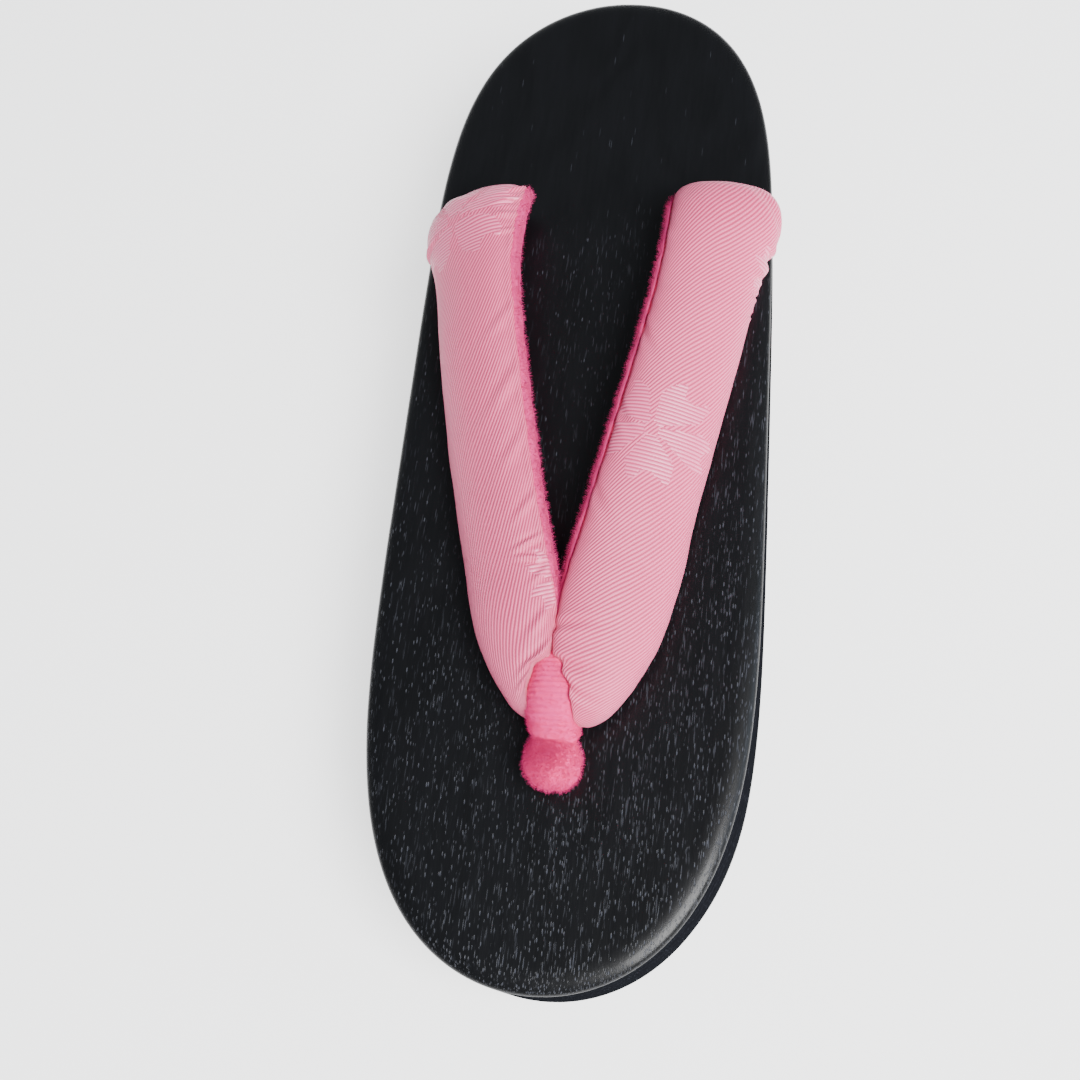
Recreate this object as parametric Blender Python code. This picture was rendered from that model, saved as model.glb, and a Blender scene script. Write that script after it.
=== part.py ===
"""Geta sandal: a low wooden deck with a heel block, two rubber sheets under it,
padded straps joined at the front, and a velvet thong that ties them down.

X runs across, Y along with the toe at minus Y, and Z up from the floor.
"""
import math

import bmesh
import bpy
from mathutils import Vector

# Deck outline, seen from above
LENGTH = 0.235
TOE_WIDTH = 0.0823        # width that the outline's sides reach towards the toe
HEEL_WIDTH = 0.0777       # and towards the heel
TOE_FULLNESS = 4.6        # a higher power makes an end squarer
HEEL_FULLNESS = 5.4
OUTLINE_POINTS = 88
END_STARTS = 0.62         # shares of half the length where a side wall begins to turn
END_WHOLE = 0.96          # into an end's wall, and where it has done so

# Deck heights over the floor, and the edge of its top
HEEL_HEIGHT = 0.0364
TOE_HEIGHT = 0.0241
SHOULDER_ACROSS = 0.0050
SHOULDER_DROP = 0.0018
SIDE_LEAN = math.radians(1.5)
HEEL_LEAN = math.radians(4.0)
TOE_LEAN = math.radians(4.6)
SIDE_EDGE_RADIUS = 0.0012
HEEL_EDGE_RADIUS = 0.0075
TOE_EDGE_RADIUS = 0.0026
SHOULDER_STEPS = 4
WALL_LEVELS = (-0.10, 0.015, 0.05, 0.10, 0.16, 0.24, 0.34, 0.62, 1.0)   # shares of the wall's height

# Underside: heel block, arch and toe spring
HEEL_BLOCK_LENGTH = 0.057     # from the back of the deck to the block's front foot
HEEL_FACE_LEAN = math.radians(17)
ARCH_RADIUS = 0.008
ARCH_CROWN = 0.0175           # where the block's face and the arch's slope would meet
ARCH_SLOPE = math.radians(15.4)
ARCH_EASE = 0.060
TOE_SPRING = 0.0037
TOE_SPRING_LENGTH = 0.0425
TOE_SPRING_STEPS = 7
RUBBER_THICKNESS = 0.0030
GAP = 0.0003                  # between pieces that touch
ARC_STEP = math.radians(11)   # the most that a rounded corner turns from point to point
SHARP_ANGLE = math.radians(35)

# Holes, measured from the deck's two ends
REAR_HOLE_SPREAD = 0.056
REAR_HOLE_FROM_HEEL = 0.0665
FRONT_HOLE_FROM_TOE = 0.0445
STRAPS_ASIDE = 0.0013         # the three holes lie a little to one side of the middle
HOLE_DIAMETER = 0.0095
ROUND_SIDES = 24
KNOT_DIAMETER = 0.0110
KNOT_THICKNESS = 0.0055
KNOT_RINGS = (-68, -45, -20, 0, 20, 45)   # degrees up from a knot's waist
REAR_KNOT_HANG = 0.0046       # from the arch's unrounded corner line to the top of a rear knot
RECESS_DIAMETER = 0.0200
RECESS_DEPTH = 0.0090         # from the floor

# Padded straps
STRAP_WIDTH = 0.0228
STRAP_THICKNESS = 0.0106
STRAP_LIFT = 0.0078           # height of their middle over the deck
STRAP_TILT = math.radians(25)
STRAP_BACK = 0.0065           # how far a strap's padded end reaches behind its hole
STRAP_TIP = 0.0140            # the middle of the joined straps, behind the front hole
TAIL_CLEARANCE = 0.0004       # all round a cord in its hole
SECTION_POINTS = 20
CROWN = 1.08                  # a section's rise over its middle, and its depth under it,
BELLY = 0.92                  # as shares of half its thickness

# Velvet thong
THONG_WIDTH = 0.0118
THONG_THICKNESS = 0.0046
THONG_FOOT_WIDTH = 0.0122
THONG_FOOT_HEIGHT = 0.0098

# Sections of one strap from its rear end to the place where the two are joined.
# along: share of the way from the padded end to the joint; out: share of half
# the rear holes' spread; lift, width, thick and tilt: shares of the strap's own.
STRAP_SECTIONS = (
    # along,   out,  lift, width, thick, tilt
    (0.000,  1.010,  0.50,  0.40,  0.36, 0.10),
    (0.010,  1.010,  0.57,  0.76,  0.72, 0.14),
    (0.032,  1.010,  0.69,  0.98,  0.98, 0.22),
    (0.070,  1.005,  0.82,  1.08,  1.10, 0.46),
    (0.115,  0.975,  0.90,  1.07,  1.07, 0.72),
    (0.200,  0.918,  0.96,  0.98,  1.00, 1.00),
    (0.303,  0.847,  1.00,  0.94,  1.00, 1.00),
    (0.426,  0.747,  1.00,  0.93,  1.00, 1.00),
    (0.559,  0.638,  1.00,  0.94,  1.00, 1.00),
    (0.682,  0.536,  1.00,  0.95,  1.00, 0.98),
    (0.795,  0.420,  0.98,  0.96,  1.00, 0.86),
    (0.887,  0.298,  0.98,  0.95,  0.98, 0.56),
    (0.959,  0.150,  0.97,  0.90,  0.92, 0.24),
    (1.004, -0.005,  0.96,  0.83,  0.86, 0.00),
    (1.022, -0.165,  0.96,  0.77,  0.80, 0.00),
)
STRAP_STEPS = 2               # rings from one section to the next

# The thong's loop, from its foot over the joined straps and back beneath them.
# back: share of the way from the front hole to the straps' joint; up: share of
# the straps' height over the deck; width and thick: shares of the thong's own.
THONG_SECTIONS = (
    # back,   up, width, thick
    (0.06,  0.10,  0.62,  0.90),
    (0.04,  0.42,  0.84,  1.15),
    (0.20,  0.66,  0.90,  1.05),
    (0.46,  0.86,  1.00,  1.00),
    (0.80,  0.98,  1.00,  1.00),
    (1.12,  0.97,  0.96,  0.98),
    (1.38,  0.78,  0.88,  0.90),
    (1.42,  0.42,  0.78,  0.76),
    (1.20,  0.15,  0.70,  0.54),
    (0.90,  0.12,  0.68,  0.50),
    (0.50,  0.12,  0.66,  0.50),
    (0.10,  0.18,  0.62,  0.60),
)
THONG_STEPS = 2

# The thong's round foot, as shares of half its width and of its height
THONG_FOOT_PROFILE = (
    # radius, height
    (0.80,  0.10),
    (0.96,  0.26),
    (1.00,  0.45),
    (0.93,  0.66),
    (0.72,  0.86),
    (0.36,  0.98),
)

# Places that follow from the sizes above
TOE_END = -LENGTH / 2
HEEL_END = LENGTH / 2
REAR_HOLE_Y = HEEL_END - REAR_HOLE_FROM_HEEL
FRONT_HOLE_Y = TOE_END + FRONT_HOLE_FROM_TOE
STRAP_REAR_Y = REAR_HOLE_Y + STRAP_BACK
STRAP_JOINT_Y = FRONT_HOLE_Y + STRAP_TIP
HEEL_FRONT_Y = HEEL_END - HEEL_BLOCK_LENGTH
ARCH_CROWN_Y = HEEL_FRONT_Y - ARCH_CROWN * math.tan(HEEL_FACE_LEAN)
WOOD_FOOT = RUBBER_THICKNESS + GAP
STRAP_HEIGHT = STRAP_LIFT + STRAP_THICKNESS / 2
CORD_RADIUS = HOLE_DIAMETER / 2 - TAIL_CLEARANCE
WIDE = TOE_WIDTH              # half the width of cutters that pass right across


def mix(first, second, share):
    """The value a share of the way from the first to the second."""
    return first + (second - first) * share


def smooth_step(low, high, value):
    """Runs from 0 to 1 between low and high, level at both ends."""
    share = min(1.0, max(0.0, (value - low) / (high - low)))
    return share * share * (3 - 2 * share)


def deck_top(y):
    """Height of the deck's flat top at y."""
    return mix(TOE_HEIGHT, HEEL_HEIGHT, (y - TOE_END) / LENGTH)


def deck_foot(y):
    """Height of the block's lowest line at y: level, then the toe spring."""
    ahead = max(0.0, TOE_END + TOE_SPRING_LENGTH - y)
    return TOE_SPRING * (ahead / TOE_SPRING_LENGTH) ** 2


def outline_point(turn):
    """A point of the deck's outline, its outward direction and its place u.

    turn goes once round from the toe; u is -1 at the toe and 1 at the heel.
    """
    def place(angle):
        u = -math.cos(angle)
        power = TOE_FULLNESS if u < 0 else HEEL_FULLNESS
        half = mix(TOE_WIDTH, HEEL_WIDTH, (u + 1) / 2) / 2
        across = half * math.sqrt(max(0.0, 1 - abs(u) ** power))
        side = 1 if angle < math.pi else -1
        return Vector((side * across, u * HEEL_END, 0)), u

    nearby = math.tau / OUTLINE_POINTS / 100
    here, u = place(turn)
    behind, _ = place((turn - nearby) % math.tau)
    ahead, _ = place((turn + nearby) % math.tau)
    along = (ahead - behind).normalized()
    return here, Vector((along.y, -along.x, 0)), u


def wall_inset(u, height, depth):
    """How far the wall lies inside the outline at a height over the block's
    foot and a depth below its widest line."""
    end = smooth_step(END_STARTS, END_WHOLE, abs(u))
    lean = mix(SIDE_LEAN, HEEL_LEAN if u > 0 else TOE_LEAN, end)
    radius = mix(SIDE_EDGE_RADIUS, HEEL_EDGE_RADIUS if u > 0 else TOE_EDGE_RADIUS, end)
    below = min(radius, max(0.0, radius - height))
    return depth * math.tan(lean) + radius - math.sqrt(radius ** 2 - below ** 2)


def finish_mesh(name, bm):
    """Turns a bmesh into an object in the scene, with its faces outward."""
    bmesh.ops.recalc_face_normals(bm, faces=bm.faces[:])
    mesh = bpy.data.meshes.new(name)
    bm.to_mesh(mesh)
    bm.free()
    piece = bpy.data.objects.new(name, mesh)
    bpy.context.scene.collection.objects.link(piece)
    return piece


def loft(name, rings):
    """A closed body through rings of points, extruded from one to the next."""
    bm = bmesh.new()
    first = cap = bm.faces.new([bm.verts.new(point) for point in rings[0]])
    for ring in rings[1:]:
        grown = bmesh.ops.extrude_face_region(bm, geom=[cap])["geom"]
        if cap is not first:
            bm.faces.remove(cap)
        cap = next(item for item in grown if isinstance(item, bmesh.types.BMFace))
        for vert, point in zip(cap.verts, ring):
            vert.co = point
    return finish_mesh(name, bm)


def across_prism(name, profile, half_width):
    """A closed body with a side profile of (y, z) points, extruded across."""
    left = [Vector((-half_width, y, z)) for y, z in profile]
    right = [Vector((half_width, y, z)) for y, z in profile]
    return loft(name, [left, right])


def turned(name, profile, middle):
    """A closed body turned from (radius, z) points about an upright line."""
    rings = []
    for radius, z in profile:
        rings.append([
            Vector((
                middle[0] + radius * math.cos(math.tau * k / ROUND_SIDES),
                middle[1] + radius * math.sin(math.tau * k / ROUND_SIDES),
                z,
            ))
            for k in range(ROUND_SIDES)
        ])
    return loft(name, rings)


def rounded(corners):
    """A line of (y, z) points with an arc at each corner that has a radius."""
    line = []
    for index, (y, z, radius) in enumerate(corners):
        corner = Vector((y, z))
        if not radius:
            line.append((y, z))
            continue
        into = (corner - Vector(corners[index - 1][:2])).normalized()
        out = (Vector(corners[index + 1][:2]) - corner).normalized()
        turn = math.acos(max(-1.0, min(1.0, into.dot(out))))
        side = 1 if into.x * out.y - into.y * out.x > 0 else -1
        start = corner - into * radius * math.tan(turn / 2)
        centre = start + Vector((-into.y, into.x)) * radius * side
        count = max(2, math.ceil(turn / ARC_STEP))
        for k in range(count + 1):
            angle = side * turn * k / count
            arm = start - centre
            line.append((
                centre.x + arm.x * math.cos(angle) - arm.y * math.sin(angle),
                centre.y + arm.x * math.sin(angle) + arm.y * math.cos(angle),
            ))
    return line


def boolean(piece, cutter, operation="DIFFERENCE"):
    """Adds a Boolean modifier, and puts its cutter in place and out of sight."""
    modifier = piece.modifiers.new(operation.title(), "BOOLEAN")
    modifier.operation = operation
    modifier.solver = "EXACT"
    modifier.object = cutter
    cutter.location = piece.location
    cutter.hide_render = True
    cutter.display_type = "WIRE"


def finish(name, colour, roughness):
    """A material of one colour and roughness."""
    material = bpy.data.materials.new(name)
    material.use_nodes = True
    shader = material.node_tree.nodes["Principled BSDF"]
    shader.inputs["Base Color"].default_value = (*colour, 1)
    shader.inputs["Roughness"].default_value = roughness
    shader.inputs["Metallic"].default_value = 0
    return material


def dress(piece, material):
    """Gives a piece its material and smooth shading with its edges kept."""
    piece.data.materials.append(material)
    piece.data.shade_smooth()
    piece.data.set_sharp_from_angle(angle=SHARP_ANGLE)


def deck_block(name):
    """The deck's full outer form, solid down to the floor and below it.

    Its walls lean in and its lower edge is rounded towards the foot line.
    """
    turns = [math.tau * (k + 0.5) / OUTLINE_POINTS for k in range(OUTLINE_POINTS)]
    rings = []
    for level in WALL_LEVELS:
        ring = []
        for turn in turns:
            place, outward, u = outline_point(turn)
            foot = deck_foot(place.y)
            widest = deck_top(place.y) - SHOULDER_DROP
            height = (widest - foot) * level
            inset = wall_inset(u, max(0.0, height), widest - foot - max(0.0, height))
            ring.append(place - outward * inset + Vector((0, 0, foot + height)))
        rings.append(ring)
    for k in range(1, SHOULDER_STEPS + 1):
        angle = math.pi / 2 * k / SHOULDER_STEPS
        ring = []
        for turn in turns:
            place, outward, _ = outline_point(turn)
            inset = SHOULDER_ACROSS * (1 - math.cos(angle))
            drop = SHOULDER_DROP * (1 - math.sin(angle))
            ring.append(place - outward * inset + Vector((0, 0, deck_top(place.y) - drop)))
        rings.append(ring)
    for point in rings[-1]:
        point.z = deck_top(point.y)
    return loft(name, rings)


def toe_spring_line(raise_by):
    """The underside's line from the forefoot's flat to past the toe."""
    start = TOE_END + TOE_SPRING_LENGTH
    past = TOE_END - SHOULDER_ACROSS
    line = []
    for k in range(TOE_SPRING_STEPS + 1):
        y = mix(start, past, k / TOE_SPRING_STEPS)
        line.append((y, deck_foot(y) + raise_by))
    return line


def underside(raise_by):
    """The side profile of the deck's underside at a height over the floor."""
    face_run = math.tan(HEEL_FACE_LEAN)
    slope_foot = ARCH_CROWN_Y - (ARCH_CROWN - raise_by) / math.tan(ARCH_SLOPE)
    corners = (
        (HEEL_END + SHOULDER_ACROSS, raise_by, 0),
        (HEEL_FRONT_Y - raise_by * face_run, raise_by, 0),
        (ARCH_CROWN_Y, ARCH_CROWN, ARCH_RADIUS),
        (slope_foot, raise_by, ARCH_EASE),
        (TOE_END + TOE_SPRING_LENGTH, raise_by, 0),
    )
    return rounded(corners)[:-1] + toe_spring_line(raise_by)


def hole_cutter(name, x, y, diameter, low, high):
    """An upright cutter for a round hole."""
    return turned(name, ((diameter / 2, low), (diameter / 2, high)), (x, y))


def geta_body():
    """The wooden deck with its heel block, arch, toe spring and three holes."""
    body = deck_block("geta_body")
    above = HEEL_HEIGHT * 2
    profile = underside(WOOD_FOOT)
    profile += [(profile[-1][0], above), (profile[0][0], above)]
    boolean(body, across_prism("deck_side_profile", profile, WIDE), "INTERSECT")
    for side in (-1, 1):
        x = STRAPS_ASIDE + side * REAR_HOLE_SPREAD / 2
        boolean(body, hole_cutter(f"rear_hole_{side}", x, REAR_HOLE_Y, HOLE_DIAMETER, 0, above))
    at = (STRAPS_ASIDE, FRONT_HOLE_Y)
    boolean(body, hole_cutter("front_hole", *at, HOLE_DIAMETER, 0, above))
    boolean(body, hole_cutter("front_recess", *at, RECESS_DIAMETER, 0, RECESS_DEPTH))
    return body


def heel_rubber():
    """The rubber sheet under the heel block, cut along the block's face."""
    sheet = deck_block("heel_rubber_sheet")
    face_run = math.tan(HEEL_FACE_LEAN)
    back = HEEL_END + SHOULDER_ACROSS
    profile = (
        (HEEL_FRONT_Y, 0),
        (back, 0),
        (back, RUBBER_THICKNESS),
        (HEEL_FRONT_Y - RUBBER_THICKNESS * face_run, RUBBER_THICKNESS),
    )
    boolean(sheet, across_prism("heel_sheet_profile", profile, WIDE), "INTERSECT")
    return sheet


def forefoot_rubber():
    """The rubber sheet under the forefoot, curved up with the toe spring."""
    sheet = deck_block("forefoot_rubber_sheet")
    slope_foot = ARCH_CROWN_Y - (ARCH_CROWN - WOOD_FOOT) / math.tan(ARCH_SLOPE)
    rear = slope_foot - ARCH_EASE * math.tan(ARCH_SLOPE / 2)
    lower = [(rear, 0)] + toe_spring_line(0)
    upper = [(rear, RUBBER_THICKNESS)] + toe_spring_line(RUBBER_THICKNESS)
    profile = lower + upper[::-1]
    boolean(sheet, across_prism("forefoot_sheet_profile", profile, WIDE), "INTERSECT")
    at = (STRAPS_ASIDE, FRONT_HOLE_Y)
    low = -RUBBER_THICKNESS
    boolean(sheet, hole_cutter("sheet_recess", *at, RECESS_DIAMETER, low, RECESS_DEPTH))
    return sheet


def between(rows, steps):
    """Rows on a smooth curve through a table's rows, steps to each gap."""
    result = []
    for index in range(len(rows) - 1):
        before = rows[max(0, index - 1)]
        first = rows[index]
        second = rows[index + 1]
        after = rows[min(len(rows) - 1, index + 2)]
        for k in range(steps):
            t = k / steps
            result.append(tuple(
                0.5 * (2 * b + (c - a) * t + (2 * a - 5 * b + 4 * c - d) * t ** 2
                       + (3 * b - a - 3 * c + d) * t ** 3)
                for a, b, c, d in zip(before, first, second, after)
            ))
    result.append(rows[-1])
    return result


def section_ring(middle, wide_way, thick_way, half_width, half_thickness):
    """A padded section: crowned above, a little flatter below."""
    ring = []
    for k in range(SECTION_POINTS):
        angle = math.tau * k / SECTION_POINTS
        across = math.cos(angle) * half_width
        rise = math.sin(angle) * half_thickness
        rise *= CROWN if rise > 0 else BELLY
        ring.append(middle + wide_way * across + thick_way * rise)
    return ring


def travel(middles, index):
    """The direction of a line of middles at one of them."""
    ahead = middles[min(index + 1, len(middles) - 1)]
    behind = middles[max(index - 1, 0)]
    return (ahead - behind).normalized()


def strap(name, side):
    """One padded strap, from its rear end to just past the joint.

    side is 1 for the strap at plus X and -1 for the other one.
    """
    rows = between(STRAP_SECTIONS, STRAP_STEPS)
    middles = []
    for along, out, lift, *_ in rows:
        x = side * out * REAR_HOLE_SPREAD / 2
        y = mix(STRAP_REAR_Y, STRAP_JOINT_Y, along)
        middles.append(Vector((x, y, deck_top(y) + lift * STRAP_LIFT)))
    rings = []
    for index, (_, _, _, width, thick, tilt) in enumerate(rows):
        along = travel(middles, index)
        outward = Vector((0, 0, side)).cross(along).normalized()
        up = side * along.cross(outward)
        angle = tilt * STRAP_TILT
        wide_way = outward * math.cos(angle) - up * math.sin(angle)
        thick_way = outward * math.sin(angle) + up * math.cos(angle)
        rings.append(section_ring(
            middles[index], wide_way, thick_way,
            width * STRAP_WIDTH / 2, thick * STRAP_THICKNESS / 2,
        ))
    return loft(name, rings)


def knotted_cord(name, middle, knot_top, upper):
    """A cord in its hole with a plain round knot at its foot.

    upper is the rest of its (radius, z) profile, above the hole.
    """
    half = KNOT_THICKNESS / 2
    profile = []
    for degrees in KNOT_RINGS:
        angle = math.radians(degrees)
        radius = KNOT_DIAMETER / 2 * math.cos(angle)
        profile.append((radius, knot_top - half + half * math.sin(angle)))
    profile.append((CORD_RADIUS, knot_top))
    return turned(name, profile + upper, middle)


def strap_tail(name, side):
    """The cord that leaves a strap's end and is knotted in the arch."""
    ceiling = ARCH_CROWN + (REAR_HOLE_Y - ARCH_CROWN_Y) * math.tan(ARCH_SLOPE)
    top = deck_top(REAR_HOLE_Y) + STRAP_LIFT
    middle = (side * REAR_HOLE_SPREAD / 2, REAR_HOLE_Y)
    return knotted_cord(name, middle, ceiling - REAR_KNOT_HANG, [(CORD_RADIUS, top)])


def thong_loop(name, clearance=0.0):
    """The thong's flattened loop over the joined straps and back under them."""
    rows = between(THONG_SECTIONS, THONG_STEPS)
    middles = []
    for back, up, *_ in rows:
        y = mix(FRONT_HOLE_Y, STRAP_JOINT_Y, back)
        middles.append(Vector((0, y, deck_top(y) + up * STRAP_HEIGHT)))
    across = Vector((1, 0, 0))
    rings = []
    for index, (_, _, width, thick) in enumerate(rows):
        rings.append(section_ring(
            middles[index], across, across.cross(travel(middles, index)),
            width * THONG_WIDTH / 2 + clearance, thick * THONG_THICKNESS / 2 + clearance,
        ))
    return loft(name, rings)


def thong_foot(name, clearance=0.0):
    """The thong's round foot on the deck, its stem in the hole and its knot."""
    top = deck_top(FRONT_HOLE_Y)
    upper = [(CORD_RADIUS, top)]
    for share, height in THONG_FOOT_PROFILE:
        upper.append((
            share * THONG_FOOT_WIDTH / 2 + clearance,
            top + height * THONG_FOOT_HEIGHT + clearance,
        ))
    return knotted_cord(name, (0, FRONT_HOLE_Y), RECESS_DEPTH - GAP, upper)


def upper_straps():
    """Both padded straps as one body, joined over the front, with their tails."""
    straps = strap("upper_straps", 1)
    straps.location.x = STRAPS_ASIDE
    boolean(straps, strap("other_strap", -1), "UNION")
    boolean(straps, strap_tail("strap_tail", 1), "UNION")
    boolean(straps, strap_tail("other_strap_tail", -1), "UNION")
    boolean(straps, thong_loop("thong_bed", GAP))
    boolean(straps, thong_foot("thong_foot_bed", GAP))
    return straps


def front_thong():
    """The velvet thong: a loop round the joined straps, tied under the deck."""
    thong = thong_foot("front_thong")
    thong.location.x = STRAPS_ASIDE
    boolean(thong, thong_loop("thong_loop"), "UNION")
    return thong


def build():
    """Builds every piece and gives each its material."""
    for item in list(bpy.context.scene.objects):
        bpy.data.objects.remove(item, do_unlink=True)

    lacquer = finish("black_wood", (0.012, 0.013, 0.016), 0.42)
    rubber = finish("grey_rubber", (0.045, 0.047, 0.052), 0.70)
    brocade = finish("pink_brocade", (0.80, 0.34, 0.38), 0.50)
    velvet = finish("pink_velvet", (0.86, 0.13, 0.27), 0.92)

    dress(geta_body(), lacquer)
    dress(heel_rubber(), rubber)
    dress(forefoot_rubber(), rubber)
    dress(upper_straps(), brocade)
    dress(front_thong(), velvet)


build()
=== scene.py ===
"""The looks of a geta sandal: lacquered wood, padded brocade straps and a velvet thong.

X runs across, Y from toe to heel and Z up, in metres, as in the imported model.
"""
import math
import random

import bmesh
import bpy
from mathutils import Matrix, Vector, noise


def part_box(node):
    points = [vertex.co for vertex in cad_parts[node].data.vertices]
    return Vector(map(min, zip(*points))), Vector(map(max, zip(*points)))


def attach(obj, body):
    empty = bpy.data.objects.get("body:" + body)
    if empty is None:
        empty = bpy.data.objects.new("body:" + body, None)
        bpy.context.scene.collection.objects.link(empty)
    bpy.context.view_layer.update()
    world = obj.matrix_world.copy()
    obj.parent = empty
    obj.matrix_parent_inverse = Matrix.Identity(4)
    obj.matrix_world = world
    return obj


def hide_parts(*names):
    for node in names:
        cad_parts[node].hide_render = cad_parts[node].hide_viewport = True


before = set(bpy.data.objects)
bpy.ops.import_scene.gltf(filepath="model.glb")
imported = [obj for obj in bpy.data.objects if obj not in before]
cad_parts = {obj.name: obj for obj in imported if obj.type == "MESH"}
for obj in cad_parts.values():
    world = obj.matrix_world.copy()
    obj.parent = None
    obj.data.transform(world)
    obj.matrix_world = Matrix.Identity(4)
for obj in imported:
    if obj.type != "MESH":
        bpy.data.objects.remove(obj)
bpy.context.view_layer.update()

MM = 0.001
WELD = 0.002 * MM  # verts closer than this become one
SHARP_ANGLE = 35  # degrees between faces that keep a hard edge

# The deck, at the sizes of its solid
LENGTH = 235 * MM
TOE_WIDTH = 82.3 * MM
HEEL_WIDTH = 77.7 * MM
TOE_FULLNESS = 4.6
HEEL_FULLNESS = 5.4
TOP_CUT = 0.14 * MM  # the shoulder cuts this off the sloping top's highest end
TOP_FALL = 12.3 * MM
HEEL_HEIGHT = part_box("geta_body")[1].z + TOP_CUT
TOE_HEIGHT = HEEL_HEIGHT - TOP_FALL
SHOULDER_ACROSS = 5 * MM
SHOULDER_DROP = 1.8 * MM
SHOULDER_WOBBLE = 0.16 * MM  # the shoulder was rounded by hand
SHOULDER_STEPS = 8
TOP_MARGIN = 2.5 * MM  # from the shoulder to the first ring of the flat top
SIDE_RISE = 0.15  # a face belongs to the side if its normal rises less
SIDE_LEAN, HEEL_LEAN, TOE_LEAN = (math.radians(angle) for angle in (1.5, 4.0, 4.6))
SIDE_EDGE, HEEL_EDGE, TOE_EDGE = 1.2 * MM, 7.5 * MM, 2.6 * MM
END_STARTS, END_WHOLE = 0.62, 0.96
FOOT_EDGE = 0.5 * MM
WALL_LEVELS = (0.04, 0.08, 0.13, 0.2, 0.28, 0.38, 0.55, 0.78, 1.0)

# Its underside
HEEL_FACE_LEAN = math.radians(17)
HEEL_FACE_RUN = 0.92 * MM  # how far that face runs over the rubber's height
HEEL_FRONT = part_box("heel_rubber_sheet")[0].y + HEEL_FACE_RUN
ARCH_CROWN = 17.5 * MM
ARCH_SLOPE = math.radians(15.4)
ARCH_ROUND, FOREFOOT_ROUND = 7 * MM, 2.4 * MM
TOE_SPRING = 3.7 * MM
TOE_SPRING_LENGTH = 42.5 * MM
RUBBER = 3 * MM
RUBBER_EDGE = 0.25 * MM
GAP = 0.3 * MM  # between the rubber and the wood

# The deck's and the sheets' places along Y
STATION_STEPS = 150
STATION_GAP = 0.12 * MM  # stations closer than this become one
END_STATION = LENGTH / 2 * math.cos(math.pi / (2 * STATION_STEPS))
HEEL_FACE_STATIONS = (
    # low, high and gap of the closer stations at the heel block's face
    (38 * MM, 53 * MM, 1 * MM), (53 * MM, 61.5 * MM, 0.35 * MM),
)

# Holes
ASIDE = 1.3 * MM  # the holes lie this far to one side of the middle
REAR_HOLE = Vector((28 * MM, 51 * MM))
FRONT_HOLE_Y = -73 * MM
HOLE_WIDTH = 9.5 * MM
HOLE_TOP = 60 * MM  # above all of the wood
RECESS_WIDTH, RECESS_DEPTH = 20 * MM, 9 * MM
CUTTER_SIDES = 48

# Straps
STRAP_REAR_Y = 55.8 * MM
STRAP_JOINT_Y = -59 * MM
STRAP_WIDTH = 22.8 * MM
STRAP_THICK = 10.6 * MM
STRAP_LIFT = 7.8 * MM
STRAP_TILT = math.radians(25)
STRAP_ROWS, STRAP_COLUMNS = 300, 96
END_CROWDING = 0.4  # how much closer the rings lie at a strap's ends
SECTION_FULLNESS = 0.93  # 1 is an ellipse, less is boxier
CROWN_SHARE, BELLY_SHARE = 1.06, 0.9
SLANT_REACH = 0.20  # the rear end's slant fades over this share of the strap
GIRTH = 54 * MM  # cloth round a strap
ALONG_SLOPE = 1.035  # cloth along a strap for each length of its run in Y
OUTER_SEAM = 0.19
SEAM_DEPTH, SEAM_WIDTH = 0.7 * MM, 0.016  # widths and distances round the strap are shares
PUCKER_DEPTH, PUCKER_WIDTH, PUCKER_AWAY = 0.20 * MM, 0.03, 0.035
CLOTH_SAG, CLOTH_RIPPLE = 0.26 * MM, 0.07 * MM

# Velvet strip of a strap
LINING_ROWS, LINING_COLUMNS = 260, 96
LINING_FIRST, LINING_LAST = 0.012, 0.975
LINING_ROLL = 0.6 * MM
LINING_THICK = 1.5 * MM
LINING_FACE = 0.66  # share of its section on the outer face, the rest lies behind

# Thong
THONG_RIBS = 24
THONG_RIB_HEIGHT = 0.09 * MM
THONG_FULLNESS = 0.85
THONG_FOOT_X = 1.6 * MM
THONG_FOOT_AHEAD = 1.4 * MM
THONG_FOOT_WIDTH = 11.3 * MM
THONG_FOOT_HEIGHT = 8.4 * MM

# Velvet fibres: length and width of each kind
STRAP_FIBRE = 1.25 * MM, 0.06 * MM
BAND_FIBRE = 0.75 * MM, 0.07 * MM
FOOT_FIBRE = 1.1 * MM, 0.07 * MM
BAND_FIBRES, FOOT_FIBRES = 5200, 6500
FUZZ_BATCH = 120  # fibres made before they join the rest

# Knots and cords
KNOT_SIZE = 1.35 * MM
KNOT_HALF_HEIGHT = 2.6 * MM
REAR_KNOT_Z, FRONT_KNOT_Z = 9.2 * MM, 6.0 * MM
ROPE = 1.75 * MM  # half the width of the knotted cord
CORD_WIDTH = 8.4 * MM

# Colours
LACQUER_DARK, LACQUER_LIGHT = (0.0016, 0.0017, 0.0021), (0.0046, 0.0049, 0.0062)
# Pale pore flecks: partly dust in the pores, partly painted glints of the lacquer
PORE_DUST_AND_GLINT = (0.052, 0.056, 0.072)
RUBBER_DARK, RUBBER_LIGHT = (0.006, 0.0063, 0.0072), (0.015, 0.0155, 0.017)
CLOTH_DEEP, CLOTH_LIGHT = (0.62, 0.036, 0.130), (1.00, 0.170, 0.350)
FLOWER_DEEP, FLOWER_LIGHT = (0.68, 0.055, 0.165), (1.00, 0.225, 0.410)
LINING_DEEP, LINING_LIGHT = (0.60, 0.024, 0.150), (1.00, 0.105, 0.350)
THONG_DEEP, THONG_LIGHT = (0.95, 0.034, 0.205), (1.00, 0.085, 0.350)

# The view of the photograph, on a frame of 1080 by 1080
CAMERA_PLACE = Vector((54.58, -152.72, 298.3)) * MM
CAMERA_AIM = Vector((-6.11, -26.72, 30.0)) * MM
CAMERA_ROLL = math.radians(-22.03)
CAMERA_LENS = 48.18
SENSOR_WIDTH = 36.0

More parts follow.
